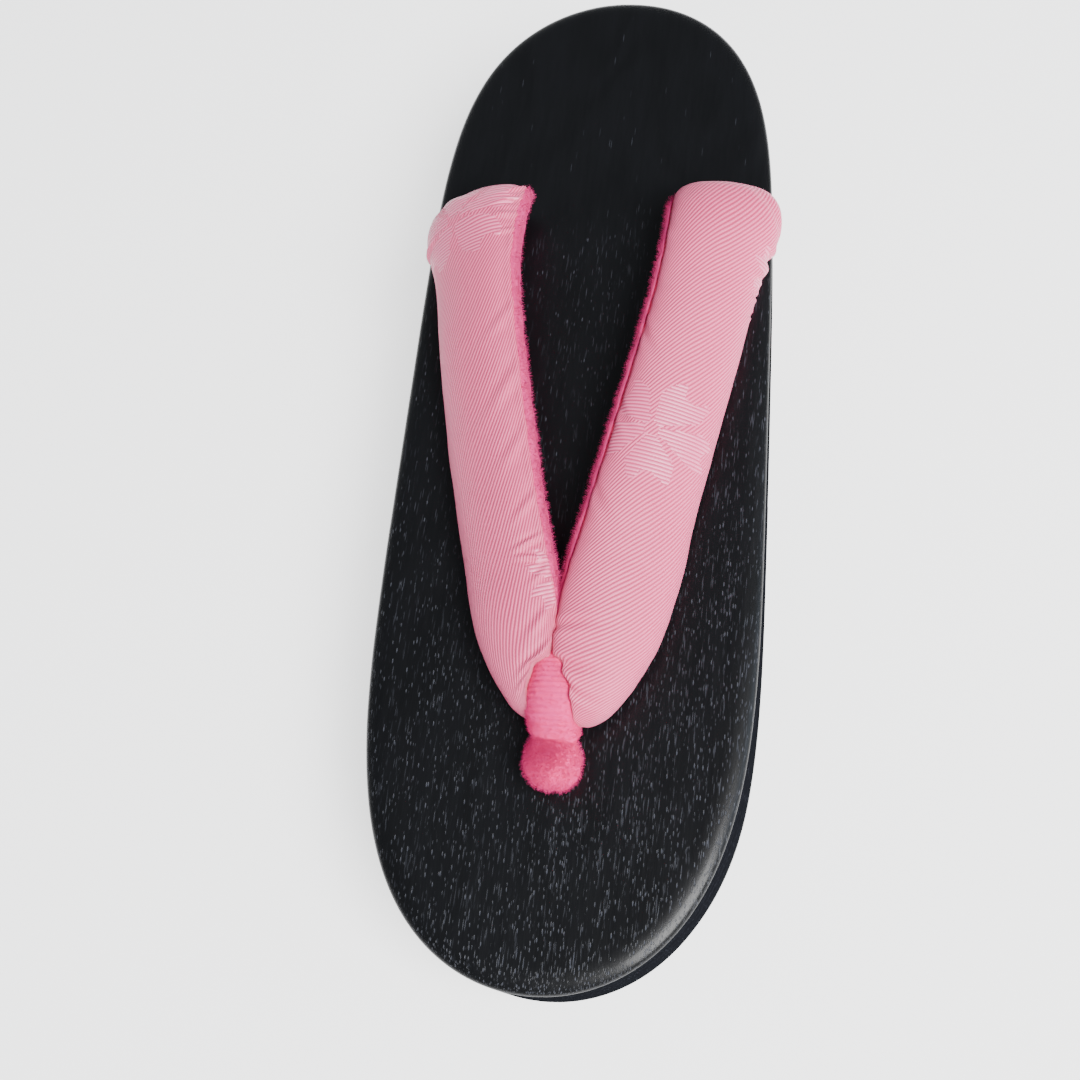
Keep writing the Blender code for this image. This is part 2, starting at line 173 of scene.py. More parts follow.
# Sections of each strap, as shares: along from its rear end to the joint, out as a share of
# the rear hole's place, and lift, width, thick and tilt as shares of the values above
RIGHT_STRAP = (
    # along, out, lift, width, thick, tilt
    (0.000, 1.018, 0.50, 0.52, 0.36, 0.10),
    (0.006, 1.018, 0.56, 0.80, 0.66, 0.12),
    (0.018, 1.018, 0.63, 0.96, 0.88, 0.18),
    (0.040, 1.014, 0.73, 1.05, 1.05, 0.32),
    (0.075, 1.002, 0.83, 1.08, 1.10, 0.52),
    (0.115, 0.975, 0.90, 1.05, 1.07, 0.74),
    (0.200, 0.908, 0.96, 0.98, 1.00, 1.00),
    (0.303, 0.836, 1.00, 0.96, 1.00, 1.00),
    (0.426, 0.736, 1.00, 0.955, 1.00, 1.00),
    (0.559, 0.626, 1.00, 0.965, 1.00, 1.00),
    (0.682, 0.527, 1.00, 0.975, 1.00, 0.98),
    (0.795, 0.438, 0.98, 1.00, 1.02, 0.86),
    (0.887, 0.338, 0.98, 1.00, 1.04, 0.62),
    (0.959, 0.215, 0.95, 0.96, 1.00, 0.42),
    (1.005, 0.115, 0.88, 0.90, 0.90, 0.28),
    (1.034, 0.050, 0.80, 0.79, 0.76, 0.22),
    (1.056, 0.008, 0.72, 0.60, 0.58, 0.20),
    (1.068, -0.008, 0.66, 0.35, 0.36, 0.20),
    (1.072, -0.012, 0.64, 0.10, 0.14, 0.20),
)
LEFT_STRAP = (
    # along, out, lift, width, thick, tilt
    (0.000, 1.000, 0.50, 0.44, 0.36, 0.10),
    (0.006, 1.002, 0.56, 0.74, 0.66, 0.14),
    (0.018, 1.006, 0.63, 0.92, 0.88, 0.22),
    (0.040, 1.010, 0.73, 1.02, 1.05, 0.38),
    (0.075, 1.008, 0.83, 1.05, 1.10, 0.58),
    (0.115, 0.990, 0.90, 1.02, 1.07, 0.80),
    (0.200, 0.940, 0.96, 0.94, 1.00, 1.04),
    (0.303, 0.872, 1.00, 0.91, 1.00, 1.04),
    (0.426, 0.775, 1.00, 0.905, 1.00, 1.02),
    (0.559, 0.660, 1.00, 0.90, 1.00, 1.00),
    (0.682, 0.545, 1.00, 0.885, 1.00, 0.98),
    (0.795, 0.425, 0.98, 0.87, 0.98, 0.90),
    (0.887, 0.314, 0.98, 0.845, 0.97, 0.66),
    (0.950, 0.218, 0.95, 0.79, 0.92, 0.46),
    (0.997, 0.138, 0.88, 0.70, 0.84, 0.32),
    (1.027, 0.095, 0.80, 0.60, 0.70, 0.26),
    (1.050, 0.064, 0.72, 0.43, 0.52, 0.24),
    (1.062, 0.050, 0.66, 0.23, 0.30, 0.24),
    (1.066, 0.046, 0.64, 0.08, 0.12, 0.24),
)


def mix(first, second, share):
    """The value a share of the way from the first to the second."""
    return first + (second - first) * share


def ease(low, high, value):
    """Runs from 0 to 1 between low and high, level at both ends."""
    share = min(1.0, max(0.0, (value - low) / (high - low)))
    return share * share * (3 - 2 * share)


def soft_least(first, second, reach):
    """The lesser of two heights, rounded off where they meet."""
    share = max(0.0, reach - abs(first - second)) / reach
    return min(first, second) - share * share * reach / 4


def swell(value, middle, width):
    """A soft bump that is 1 at its middle."""
    return math.exp(-((value - middle) / width) ** 2)


# Mesh helpers

def piece_from(name, bm, material, smooth_to=SHARP_ANGLE):
    """Makes a bmesh into a piece with its faces outward, all smooth where smooth_to is 0."""
    bmesh.ops.recalc_face_normals(bm, faces=bm.faces[:])
    mesh = bpy.data.meshes.new(name)
    bm.to_mesh(mesh)
    bm.free()
    mesh.shade_smooth()
    if smooth_to:
        mesh.set_sharp_from_angle(angle=math.radians(smooth_to))
    mesh.materials.append(material)
    piece = bpy.data.objects.new(name, mesh)
    bpy.context.scene.collection.objects.link(piece)
    return piece


def settle(piece, cutters):
    """Applies a piece's modifiers and drops the cutters that they used."""
    bpy.context.view_layer.update()
    shaped = piece.evaluated_get(bpy.context.evaluated_depsgraph_get())
    mesh = bpy.data.meshes.new_from_object(shaped)
    old = piece.data
    piece.modifiers.clear()
    piece.data = mesh
    mesh.name = piece.name
    bpy.data.meshes.remove(old)
    for cutter in cutters:
        bpy.data.objects.remove(cutter)


def on_root(piece, slot, *nodes):
    """Lets a piece ride with the sandal, in place of the solids that it shows."""
    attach(piece, "root")
    if nodes:
        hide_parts(*nodes)


def skin(columns, rows, place):
    """A closed tube of grid faces: place(around, along) gives a point for shares 0 to 1.

    Its UVs are those shares, and its seam lies where around is 0.
    """
    bm = bmesh.new()
    bm.loops.layers.uv.new("cloth")
    bmesh.ops.create_grid(bm, x_segments=columns, y_segments=rows, size=1, calc_uvs=True)
    for vert in bm.verts:
        vert.co = place((vert.co.x + 1) / 2 % 1.0, (vert.co.y + 1) / 2)
    bmesh.ops.remove_doubles(bm, verts=bm.verts[:], dist=WELD / 4)
    open_edges = [edge for edge in bm.edges if edge.is_boundary]
    bmesh.ops.holes_fill(bm, edges=open_edges, sides=columns + 1)
    caps = [face for face in bm.faces if len(face.verts) > 4]
    bmesh.ops.poke(bm, faces=caps)
    return bm


def along_table(table, place):
    """The row of a table at a value of its first column, on a smooth curve."""
    index = 0
    while index < len(table) - 2 and table[index + 1][0] < place:
        index += 1
    here, there = table[index], table[index + 1]
    before = table[max(0, index - 1)]
    after = table[min(len(table) - 1, index + 2)]
    span = there[0] - here[0]
    t = (place - here[0]) / span
    row = []
    for a, b, c, d in zip(before, here, there, after):
        leave = (c - a) / (there[0] - before[0]) * span
        arrive = (d - b) / (after[0] - here[0]) * span
        row.append(
            (2 * t ** 3 - 3 * t ** 2 + 1) * b + (t ** 3 - 2 * t ** 2 + t) * leave
            + (3 * t ** 2 - 2 * t ** 3) * c + (t ** 3 - t ** 2) * arrive)
    return row


# Deck

def deck_top(y):
    """Height of the deck's flat top at y."""
    return mix(TOE_HEIGHT, HEEL_HEIGHT, y / LENGTH + 0.5)


def deck_foot(y):
    """Height of the lowest line: level, then the toe spring."""
    ahead = max(0.0, TOE_SPRING_LENGTH - LENGTH / 2 - y)
    return TOE_SPRING * (ahead / TOE_SPRING_LENGTH) ** 2


def outline(y, side):
    """A point of the deck's outline at y, its outward direction and its share u of the length."""
    def place(angle):
        u = -math.cos(angle)
        power = TOE_FULLNESS if u < 0 else HEEL_FULLNESS
        half = mix(TOE_WIDTH, HEEL_WIDTH, (u + 1) / 2) / 2
        across = half * max(0.0, 1 - abs(u) ** power) ** 0.5
        return Vector((across, u * LENGTH / 2, 0))

    u = y / (LENGTH / 2)
    angle = math.acos(-u)
    step = 0.001
    along = (place(min(math.pi, angle + step)) - place(max(0.0, angle - step))).normalized()
    point = place(angle)
    return (
        Vector((side * point.x, point.y, 0)),
        Vector((side * along.y, -along.x, 0)),
        u,
    )


def wall_inset(u, height, depth):
    """How far the wall lies inside the outline, at a height over the foot and a depth below
    the widest line."""
    end = ease(END_STARTS, END_WHOLE, abs(u))
    lean = mix(SIDE_LEAN, HEEL_LEAN if u > 0 else TOE_LEAN, end)
    radius = mix(SIDE_EDGE, HEEL_EDGE if u > 0 else TOE_EDGE, end)
    below = min(radius, max(0.0, radius - height))
    return depth * math.tan(lean) + radius - math.sqrt(radius ** 2 - below ** 2)


def underside(y):
    """Height of the wood's underside: heel block, arch, then the forefoot."""
    level = RUBBER + GAP + deck_foot(y)
    if y >= HEEL_FRONT - level * math.tan(HEEL_FACE_LEAN):
        return level
    crown_y = HEEL_FRONT - ARCH_CROWN * math.tan(HEEL_FACE_LEAN)
    face = (HEEL_FRONT - y) / math.tan(HEEL_FACE_LEAN)
    slope = ARCH_CROWN - (crown_y - y) * math.tan(ARCH_SLOPE)
    arch = soft_least(face, slope, ARCH_ROUND)
    return -soft_least(-arch, -level, FOREFOOT_ROUND)


def stations(low, high, dense=()):
    """Places along Y between two ends, close together at the round ends and where it is dense."""
    turns = [math.pi * (k + 0.5) / STATION_STEPS for k in range(STATION_STEPS)]
    places = [-math.cos(turn) * LENGTH / 2 for turn in turns]
    for first, last, gap in dense:
        count = round((last - first) / gap)
        places += [mix(first, last, k / count) for k in range(count + 1)]
    kept = []
    for place in sorted(places + [low, high]):
        if low <= place <= high and (not kept or place - kept[-1] > STATION_GAP):
            kept.append(place)
    return kept


def strip(places):
    """A strip of faces across the sandal, one row for each place, and its rim."""
    bm = bmesh.new()
    rows = len(places) - 1
    bmesh.ops.create_grid(bm, x_segments=1, y_segments=rows, size=1)
    seats = {}
    for vert in bm.verts:
        seats[vert] = (1 if vert.co.x > 0 else -1, places[round((vert.co.y + 1) / 2 * rows)])
    return bm, seats


def grow(bm, cap, seats, place):
    """Extrudes the cap by one ring and seats the new verts by place(side, y)."""
    def spot(vert):
        return tuple(round(part, 7) for part in vert.co)

    grown = bmesh.ops.extrude_face_region(bm, geom=cap)["geom"]
    seat_at = {spot(vert): seat for vert, seat in seats.items()}
    verts = [item for item in grown if isinstance(item, bmesh.types.BMVert)]
    moved = {vert: seat_at[spot(vert)] for vert in verts}
    bmesh.ops.delete(bm, geom=cap, context="FACES_ONLY")
    for vert, (side, y) in moved.items():
        vert.co = place(side, y)
    return [item for item in grown if isinstance(item, bmesh.types.BMFace)], moved


def geta_body(material, painted_reflection_side_material):
    """The deck: an underside strip drawn up through its walls and shoulder to the flat top."""
    bm, seats = strip(stations(-END_STATION, END_STATION, HEEL_FACE_STATIONS))

    def wall(level, pull):
        def place(side, y):
            point, outward, u = outline(y, side)
            low = underside(y)
            widest = deck_top(y) - SHOULDER_DROP
            z = mix(low, widest, level) + (FOOT_EDGE - pull if level == 0 else 0)
            inset = wall_inset(u, z - deck_foot(y), widest - z)
            return point - outward * (inset + pull) + Vector((0, 0, z))
        return place

    def shoulder(turn, further=0.0):
        def place(side, y):
            point, outward, _ = outline(y, side)
            inset = SHOULDER_ACROSS * (1 - math.cos(turn))
            inset += SHOULDER_WOBBLE * math.sin(turn) * noise.noise(point / (9 * MM))
            point = point - outward * (inset + further)
            drop = SHOULDER_DROP * (1 - math.sin(turn))
            return point + Vector((0, 0, deck_top(point.y) - drop))
        return place

    def foot(side, y):
        point = wall(0, FOOT_EDGE)(side, y)
        point.z = underside(y)
        return point

    for vert, (side, y) in seats.items():
        vert.co = foot(side, y)
    rings = [wall(0, FOOT_EDGE * 0.3)]
    rings += [wall(level, 0) for level in WALL_LEVELS]
    rings += [shoulder(math.pi / 2 * k / SHOULDER_STEPS) for k in range(1, SHOULDER_STEPS + 1)]
    rings += [shoulder(math.pi / 2, TOP_MARGIN)]
    cap = bm.faces[:]
    bmesh.ops.duplicate(bm, geom=cap)
    for ring in rings:
        cap, seats = grow(bm, cap, seats, ring)
    bmesh.ops.remove_doubles(bm, verts=bm.verts[:], dist=WELD)
    top = []
    for face in bm.faces:
        middle = face.calc_center_median()
        central = abs(middle.x) < 1 * MM and middle.z > deck_top(middle.y) - 0.01 * MM
        if central and face.normal.z > 0.99 and len(face.verts) == 4:
            top.append(face)
    bmesh.ops.dissolve_faces(bm, faces=top)
    body = piece_from("deck_wood", bm, material)
    holes = [(ASIDE + side * REAR_HOLE.x, REAR_HOLE.y) for side in (-1, 1)]
    holes.append((ASIDE, FRONT_HOLE_Y))
    cutters = [cut_round(body, x, y, HOLE_WIDTH, 0, HOLE_TOP) for x, y in holes]
    cutters.append(cut_round(body, ASIDE, FRONT_HOLE_Y, RECESS_WIDTH, -1 * MM, RECESS_DEPTH))
    settle(body, cutters)
    body.data.set_sharp_from_angle(angle=math.radians(SHARP_ANGLE))
    # The walls take a lighter copy of the lacquer with no reflection: painted reflection in their
    # colour
    body.data.materials.append(painted_reflection_side_material)
    for face in body.data.polygons:
        face.material_index = 1 if face.normal.z < SIDE_RISE else 0
    on_root(body, "black_wood", "geta_body")


def cut_round(piece, x, y, width, low, high):
    """Cuts an upright round hole and returns its cutter."""
    bm = bmesh.new()
    bmesh.ops.create_cone(
        bm, cap_ends=True, segments=CUTTER_SIDES, radius1=width / 2, radius2=width / 2,
        depth=high - low, matrix=Matrix.Translation((x, y, (low + high) / 2)),
    )
    mesh = bpy.data.meshes.new("cutter")
    bm.to_mesh(mesh)
    bm.free()
    cutter = bpy.data.objects.new("cutter", mesh)
    bpy.context.scene.collection.objects.link(cutter)
    cutter.hide_render = True
    modifier = piece.modifiers.new("hole", "BOOLEAN")
    modifier.operation = "DIFFERENCE"
    modifier.solver = "EXACT"
    modifier.object = cutter
    return cutter


def rubber_sheet(name, node, low, high, material):
    """A sheet of rubber under the deck, with its edges a little rounded."""
    bm, seats = strip(stations(low, high))

    def layer(z, pull):
        def place(side, y):
            point, outward, u = outline(y, side)
            widest = deck_top(y) - SHOULDER_DROP
            inset = wall_inset(u, z, widest - deck_foot(y) - z)
            return point - outward * (inset + pull) + Vector((0, 0, deck_foot(y) + z))
        return place

    for vert, (side, y) in seats.items():
        vert.co = layer(0, RUBBER_EDGE)(side, y)
    cap = bm.faces[:]
    bmesh.ops.duplicate(bm, geom=cap)
    near = 0.3 * RUBBER_EDGE
    for z, pull in (
        (near, near), (RUBBER_EDGE, 0), (RUBBER / 2, 0),
        (RUBBER - RUBBER_EDGE, 0), (RUBBER - near, near), (RUBBER, RUBBER_EDGE),
    ):
        cap, seats = grow(bm, cap, seats, layer(z, pull))
    bmesh.ops.remove_doubles(bm, verts=bm.verts[:], dist=WELD)
    sheet = piece_from(name, bm, material)
    if low < FRONT_HOLE_Y < high:
        cutter = cut_round(sheet, ASIDE, FRONT_HOLE_Y, RECESS_WIDTH, -5 * MM, 9 * MM)
        settle(sheet, [cutter])
    on_root(sheet, "grey_rubber", node)


# Straps

# Where the straps end against each other and the thong, in mm: y, then x of the left and right
JOINT_LINE = (
    (-36.0, 0.9, 1.1),
    (-49.0, 0.9, 1.1),
    (-53.0, 0.6, 0.8),
    (-55.3, 0.2, 1.2),
    (-57.8, -3.2, 3.2),
    (-62.0, -4.2, 4.9),
    (-67.0, -3.7, 5.6),
    (-72.0, -3.2, 5.9),
)
JOINT_ROUND = 2.6 * MM
JOINT_GIVE = 0.05  # share by which a point may still pass the line


class Strap:
    """One padded strap: the frames of its sections, each worked out once."""

    def __init__(self, name, side, table, slant, inner_seam):
        self.name = name
        self.side = side              # 1 on the right, -1 on the left
        self.table = table
        self.slant = slant            # how far the outer corner of its rear end lies forward
        self.inner_seam = inner_seam  # place of the velvet's upper seam round the strap
        self.frames = {}

    def along_at(self, share):
        """Place along the strap for an even share of its rings, closer at the ends."""
        eased = (1 - math.cos(math.pi * share)) / 2
        return mix(self.table[0][0], self.table[-1][0], mix(share, eased, END_CROWDING))

    def middle(self, along):
        _, out, lift, *_ = along_table(self.table, along)
        y = mix(STRAP_REAR_Y, STRAP_JOINT_Y, along)
        return Vector((ASIDE + self.side * out * REAR_HOLE.x, y, deck_top(y) + lift * STRAP_LIFT))

    def frame(self, along):
        """Middle, wide way, thick way and half sizes of the section there."""
        if along not in self.frames:
            step = 0.003
            travel = (self.middle(along + step) - self.middle(along - step)).normalized()
            outward = Vector((0, 0, self.side)).cross(travel).normalized()
            up = self.side * travel.cross(outward)
            _, _, _, width, thick, tilt = along_table(self.table, along)
            angle = tilt * STRAP_TILT
            self.frames[along] = (
                self.middle(along),
                outward * math.cos(angle) - up * math.sin(angle),
                outward * math.sin(angle) + up * math.cos(angle),
                max(0.01, width) * STRAP_WIDTH / 2,
                max(0.01, thick) * STRAP_THICK / 2,
            )
        return self.frames[along]

    def point(self, around, along):
        """A point on the strap. around runs from the middle of its belly by the outer edge,
        over the crown and back by the inner edge."""
        centre, wide_way, thick_way, half_width, half_thick = self.frame(along)
        angle = math.tau * around - math.pi / 2
        across, rise = math.cos(angle), math.sin(angle)
        across = math.copysign(abs(across) ** SECTION_FULLNESS, across)
        rise = math.copysign(abs(rise) ** SECTION_FULLNESS, rise)
        rise *= CROWN_SHARE if rise > 0 else BELLY_SHARE
        point = centre + wide_way * across * half_width + thick_way * rise * half_thick
        point.y -= self.slant * across * half_width * ease(SLANT_REACH, 0.0, along)
        return self.pressed(point)

    def pressed(self, point):
        """Keeps a point on its own side of the joint and of the thong."""
        rows = [row for row in JOINT_LINE if row[0] * MM > point.y]
        before = rows[-1] if rows else JOINT_LINE[0]
        after = JOINT_LINE[min(len(rows), len(JOINT_LINE) - 1)]
        share = 0.0
        if after is not before:
            share = ease(before[0] * MM, after[0] * MM, point.y)
        column = 1 if self.side < 0 else 2
        limit = mix(before[column], after[column], share) * MM
        inside = self.side * (point.x - limit)
        inside = -soft_least(-inside, 0.0, JOINT_ROUND) + JOINT_GIVE * min(0.0, inside)
        point.x = limit + self.side * inside
        return point


def creased(bm, strap, creases):
    """Pulls a strap in at its seams and along its creases."""
    layer = bm.loops.layers.uv.active
    shares = {}
    for face in bm.faces:
        for loop in face.loops:
            shares[loop.vert] = loop[layer].uv.copy()
    bm.normal_update()
    moves = {}
    for vert, (around, share) in shares.items():
        along = strap.along_at(share)
        y = mix(STRAP_REAR_Y, STRAP_JOINT_Y, along)
        held = ease(0, 0.05, along) * ease(1, 0.93, along)
        shift = 0.0
        point = vert.co.copy()
        pull = 0.8 + 0.45 * noise.noise(Vector((y / (4.2 * MM), strap.side * 7, around * 3)))
        for seam in (strap.inner_seam, OUTER_SEAM):
            shift -= SEAM_DEPTH * swell(around, seam, SEAM_WIDTH) * pull * held
            crownward = PUCKER_AWAY if seam < 0.5 else -PUCKER_AWAY
            beside = swell(around, seam + crownward, PUCKER_WIDTH)
            pucker = noise.noise(Vector((y / (2.6 * MM), seam * 9, strap.side * 3)))
            shift += PUCKER_DEPTH * beside * pucker * held
        shift += CLOTH_SAG * noise.noise(point / (13 * MM))
        shift += CLOTH_RIPPLE * noise.noise(point / (4 * MM))
        for at_y, at_around, turn, length, width, depth in creases:
            du = (around - at_around) * GIRTH
            dv = y - at_y
            lengthways = du * math.cos(turn) + dv * math.sin(turn)
            crossways = dv * math.cos(turn) - du * math.sin(turn)
            fold = swell(crossways, 0, width) - 0.55 * swell(abs(crossways), 1.7 * width, width)
            shift -= depth * fold * swell(lengthways, 0, length)
        moves[vert] = vert.normal * shift
    for vert, move in moves.items():
        vert.co += move


def crease_list(rows):
    """Creases from rows of y, place round, turn, length, width and depth, in mm and degrees."""
    return [
        (y * MM, around, math.radians(turn), length * MM, width * MM, depth * MM)
        for y, around, turn, length, width, depth in rows
    ]


LEFT_CREASES = crease_list((
    # y, around, turn, length, width, depth
    (51, 0.67, 25, 3.2, 0.55, 0.50),
    (47, 0.66, 10, 3.0, 0.55, 0.60),
    (43, 0.67, -4, 3.2, 0.55, 0.50),
    (39.5, 0.68, 8, 2.6, 0.5, 0.40),
    (53, 0.42, -35, 6.0, 1.1, 0.30),
    (46, 0.52, -50, 6.0, 1.2, 0.22),
    (44, 0.27, 15, 4.5, 1.1, 0.45),
    (18, 0.66, 48, 6.0, 1.0, 0.30),
    (2, 0.65, 52, 7.0, 1.2, 0.38),
    (-12, 0.66, 50, 6.0, 1.1, 0.34),
    (-26, 0.66, 42, 4.0, 0.8, 0.45),
    (-34, 0.64, 18, 3.2, 0.55, 0.75),
    (-37.5, 0.64, -12, 3.0, 0.5, 0.70),
    (-41, 0.66, 30, 3.0, 0.6, 0.50),
    (-50, 0.60, 35, 4.0, 0.8, 0.45),
    (-56, 0.56, 22, 5.0, 0.7, 0.70),
    (-59, 0.50, 20, 4.0, 0.6, 0.45),
))
RIGHT_CREASES = crease_list((
    (41, 0.27, -10, 3.6, 1.3, 0.90),
    (35, 0.31, -28, 2.8, 0.6, 0.50),
    (31, 0.30, -8, 2.8, 0.55, 0.50),
    (26, 0.30, -20, 2.6, 0.5, 0.38),
    (50, 0.35, 40, 5.0, 1.2, 0.25),
    (12, 0.68, 50, 5.5, 1.0, 0.26),
    (-6, 0.68, 46, 5.5, 1.0, 0.26),
    (-24, 0.68, 48, 5.0, 1.0, 0.30),
    (-52, 0.62, -28, 5.0, 0.9, 0.40),
    (-58, 0.55, -20, 5.5, 0.9, 0.55),
    (-61, 0.47, -8, 4.5, 0.7, 0.40),
))


def cloth_scale(bm, strap):
    """Turns a strap's shares into the cloth's own millimetres, across towards +X and along +Y."""
    layer = bm.loops.layers.uv.active
    length = (STRAP_REAR_Y - STRAP_JOINT_Y) * ALONG_SLOPE
    for face in bm.faces:
        for loop in face.loops:
            around, share = loop[layer].uv
            loop[layer].uv = (
                -strap.side * (around - 0.5) * GIRTH / MM,
                (0.5 - strap.along_at(share)) * length / MM,
            )


def padded_strap(strap, creases, material):
    """The brocade sleeve of one strap."""
    bm = skin(
        STRAP_COLUMNS, STRAP_ROWS,
        lambda around, share: strap.point(around, strap.along_at(share)),
    )
    creased(bm, strap, creases)
    cloth_scale(bm, strap)
    sleeve = piece_from(f"{strap.name}_strap", bm, material, smooth_to=0)
    on_root(sleeve, "pink_brocade", "upper_straps")


def lining_point(strap, across, along):
    """A point of the velvet strip, which stands a little out of its two seams."""
    around = mix(strap.inner_seam - 1.0, OUTER_SEAM, across)
    point = strap.point(around % 1.0, along)
    outward = (point - strap.frame(along)[0]).normalized()
    roll = 1 - abs(2 * across - 1) ** 10
    stands = LINING_ROLL * (roll + 0.4 * swell(across, 0.05, 0.04))
    stands += 0.30 * MM * noise.noise(point / (2.3 * MM)) * roll
    return point + outward * stands, outward


def velvet_lining(strap, material):
    """The velvet strip that closes a strap from seam to seam round its belly."""
    def place(around, share):
        along = mix(LINING_FIRST, LINING_LAST, strap.along_at(share))
        if around < LINING_FACE:
            return lining_point(strap, around / LINING_FACE, along)[0]
        across = 1 - (around - LINING_FACE) / (1 - LINING_FACE)
        point, outward = lining_point(strap, across, along)
        return point - outward * LINING_THICK * (1 - abs(2 * across - 1) ** 8)

    bm = skin(LINING_COLUMNS, LINING_ROWS, place)
    piece = piece_from(f"{strap.name}_strap_lining", bm, material, smooth_to=0)
    on_root(piece, "pink_velvet")


def lining_fuzz(strap, count, material):
    """Fibres of the velvet strip along both of its edges."""
    rng = random.Random(31 + strap.side)
    spots = []
    for _ in range(count):
        inner = rng.random() < 0.8
        across = rng.uniform(0.0, 0.16) if inner else rng.uniform(0.9, 1.0)
        spots.append(lining_point(strap, across, rng.uniform(0.015, 0.97)))
    fuzz(f"{strap.name}_strap_fuzz", spots, STRAP_FIBRE, material, seed=5 + strap.side)


# Thong

THONG_LINE = (
    # along; x and y of its middle, its top over the deck, its width and its depth, in mm
    (0.00, 0.8, -50.0, 6.0, 2.0, 2.0),
    (0.10, 0.7, -52.0, 8.8, 4.6, 4.6),
    (0.24, 0.6, -55.0, 10.9, 7.0, 6.6),
    (0.40, 0.6, -58.6, 11.5, 8.8, 7.4),
    (0.58, 0.7, -63.2, 11.1, 9.9, 7.6),
    (0.74, 1.1, -68.0, 10.0, 10.1, 7.4),
    (0.87, 1.7, -71.0, 8.7, 9.8, 6.4),
    (0.95, 2.0, -72.9, 6.8, 7.8, 4.8),
    (1.00, 2.1, -73.6, 4.8, 4.8, 2.8),
)


def thong_middle(along):
    """Middle of the thong band's top at a share of its length."""
    _, x, y, top, *_ = along_table(THONG_LINE, along)
    return Vector((x * MM, y * MM, deck_top(y * MM) + top * MM))


def thong_place(around, along):
    """A point of the thong band, whose crown lies where around is a half."""
    ahead, behind = thong_middle(along + 0.01), thong_middle(along - 0.01)
    up = Vector((1, 0, 0)).cross((ahead - behind).normalized())
    *_, width, deep = along_table(THONG_LINE, along)
    angle = math.tau * around - math.pi / 2
    side, rise = math.cos(angle), math.sin(angle)
    side = math.copysign(abs(side) ** THONG_FULLNESS, side)
    rib = THONG_RIB_HEIGHT * math.cos(math.tau * along * THONG_RIBS) * max(0.0, rise)
    point = thong_middle(along) + Vector((side * width * MM / 2, 0, 0))
    point -= up * ((1 - rise) * deep * MM / 2 - rib) * (-1 if up.z < 0 else 1)
    return point + Vector((noise.noise(point / (2.5 * MM)) * 0.3 * MM, 0, 0))


def thong_band(material):
    """The velvet band that comes out between the straps, with the ribs of its knit back."""
    bm = skin(48, 150, thong_place)
    band = piece_from("thong_band", bm, material, smooth_to=0)
    on_root(band, "pink_velvet", "front_thong")


THONG_FOOT = (
    # along, radius and height, as shares of half its width and of its height
    (0.00, 0.66, 0.00), (0.10, 0.84, 0.08), (0.24, 0.97, 0.24), (0.38, 1.02, 0.44),
    (0.52, 0.98, 0.64), (0.66, 0.84, 0.82), (0.80, 0.60, 0.95), (0.93, 0.26, 1.01),
    (1.00, 0.02, 1.02),
)


def foot_place(around, along):
    """A point of the thong's foot."""
    _, radius, height = along_table(THONG_FOOT, along)
    angle = math.tau * around
    reach = radius * THONG_FOOT_WIDTH / 2
    top = deck_top(FRONT_HOLE_Y)
    point = Vector((
        THONG_FOOT_X + math.cos(angle) * reach,
        FRONT_HOLE_Y - THONG_FOOT_AHEAD + math.sin(angle) * reach * 0.97,
        top + 0.35 * MM + height * THONG_FOOT_HEIGHT,
    ))
    lump = 1 + 0.12 * noise.noise(point / (5 * MM)) + 0.03 * noise.noise(point / (1.6 * MM))
    centre = Vector((THONG_FOOT_X, FRONT_HOLE_Y, top + THONG_FOOT_HEIGHT / 2))
    return centre + (point - centre) * lump


def thong_foot(material):
    """The round velvet foot where the thong enters the deck."""
    foot = piece_from("thong_foot", skin(64, 48, foot_place), material, smooth_to=0)
    on_root(foot, "pink_velvet")


def thong_fuzz(material):
    """Fibres all over the thong's band and foot."""
    rng = random.Random(12)
    band, foot = [], []
    for _ in range(BAND_FIBRES):
        around, along = rng.uniform(0.2, 0.8), rng.uniform(0.12, 0.93)
        point = thong_place(around, along)
        _, _, y, top, *_ = along_table(THONG_LINE, along)
        core = Vector((point.x * 0.3, y * MM, deck_top(y * MM) + (top - 4) * MM))
        band.append((point, (point - core).normalized()))
    for _ in range(FOOT_FIBRES):
        point = foot_place(rng.random(), math.sqrt(rng.uniform(0.01, 0.98)))
        core = Vector((THONG_FOOT_X, FRONT_HOLE_Y, deck_top(FRONT_HOLE_Y) + 3 * MM))
        foot.append((point, (point - core).normalized()))
    fuzz("thong_band_fuzz", band, BAND_FIBRE, material, seed=3)
    fuzz("thong_foot_fuzz", foot, FOOT_FIBRE, material, seed=4)


# Velvet fibres, knots and cords

def fuzz(name, spots, fibre, material, seed):
    """Short velvet fibres standing out of spots, each a point and a direction."""
    rng = random.Random(seed)
    length, width = fibre
    whole, batch = bmesh.new(), bmesh.new()
    store = bpy.data.meshes.new("fibres")
    for index, (point, direction) in enumerate(spots, 1):
        lean = Vector([rng.uniform(-0.75, 0.75) for _ in range(3)])
        way = (direction + lean).normalized()
        reach = length * rng.uniform(0.45, 1.1)
        turn = way.to_track_quat("Z", "Y").to_matrix().to_4x4()
        bmesh.ops.create_cone(
            batch, cap_ends=True, segments=3, radius1=width / 2, radius2=width / 8,
            depth=reach, matrix=Matrix.Translation(point + way * reach * 0.4) @ turn,
        )
        if index % FUZZ_BATCH == 0 or index == len(spots):
            batch.to_mesh(store)
            whole.from_mesh(store)
            batch.clear()
    batch.free()
    bpy.data.meshes.remove(store)
    on_root(piece_from(name, whole, material, smooth_to=0), "pink_velvet")


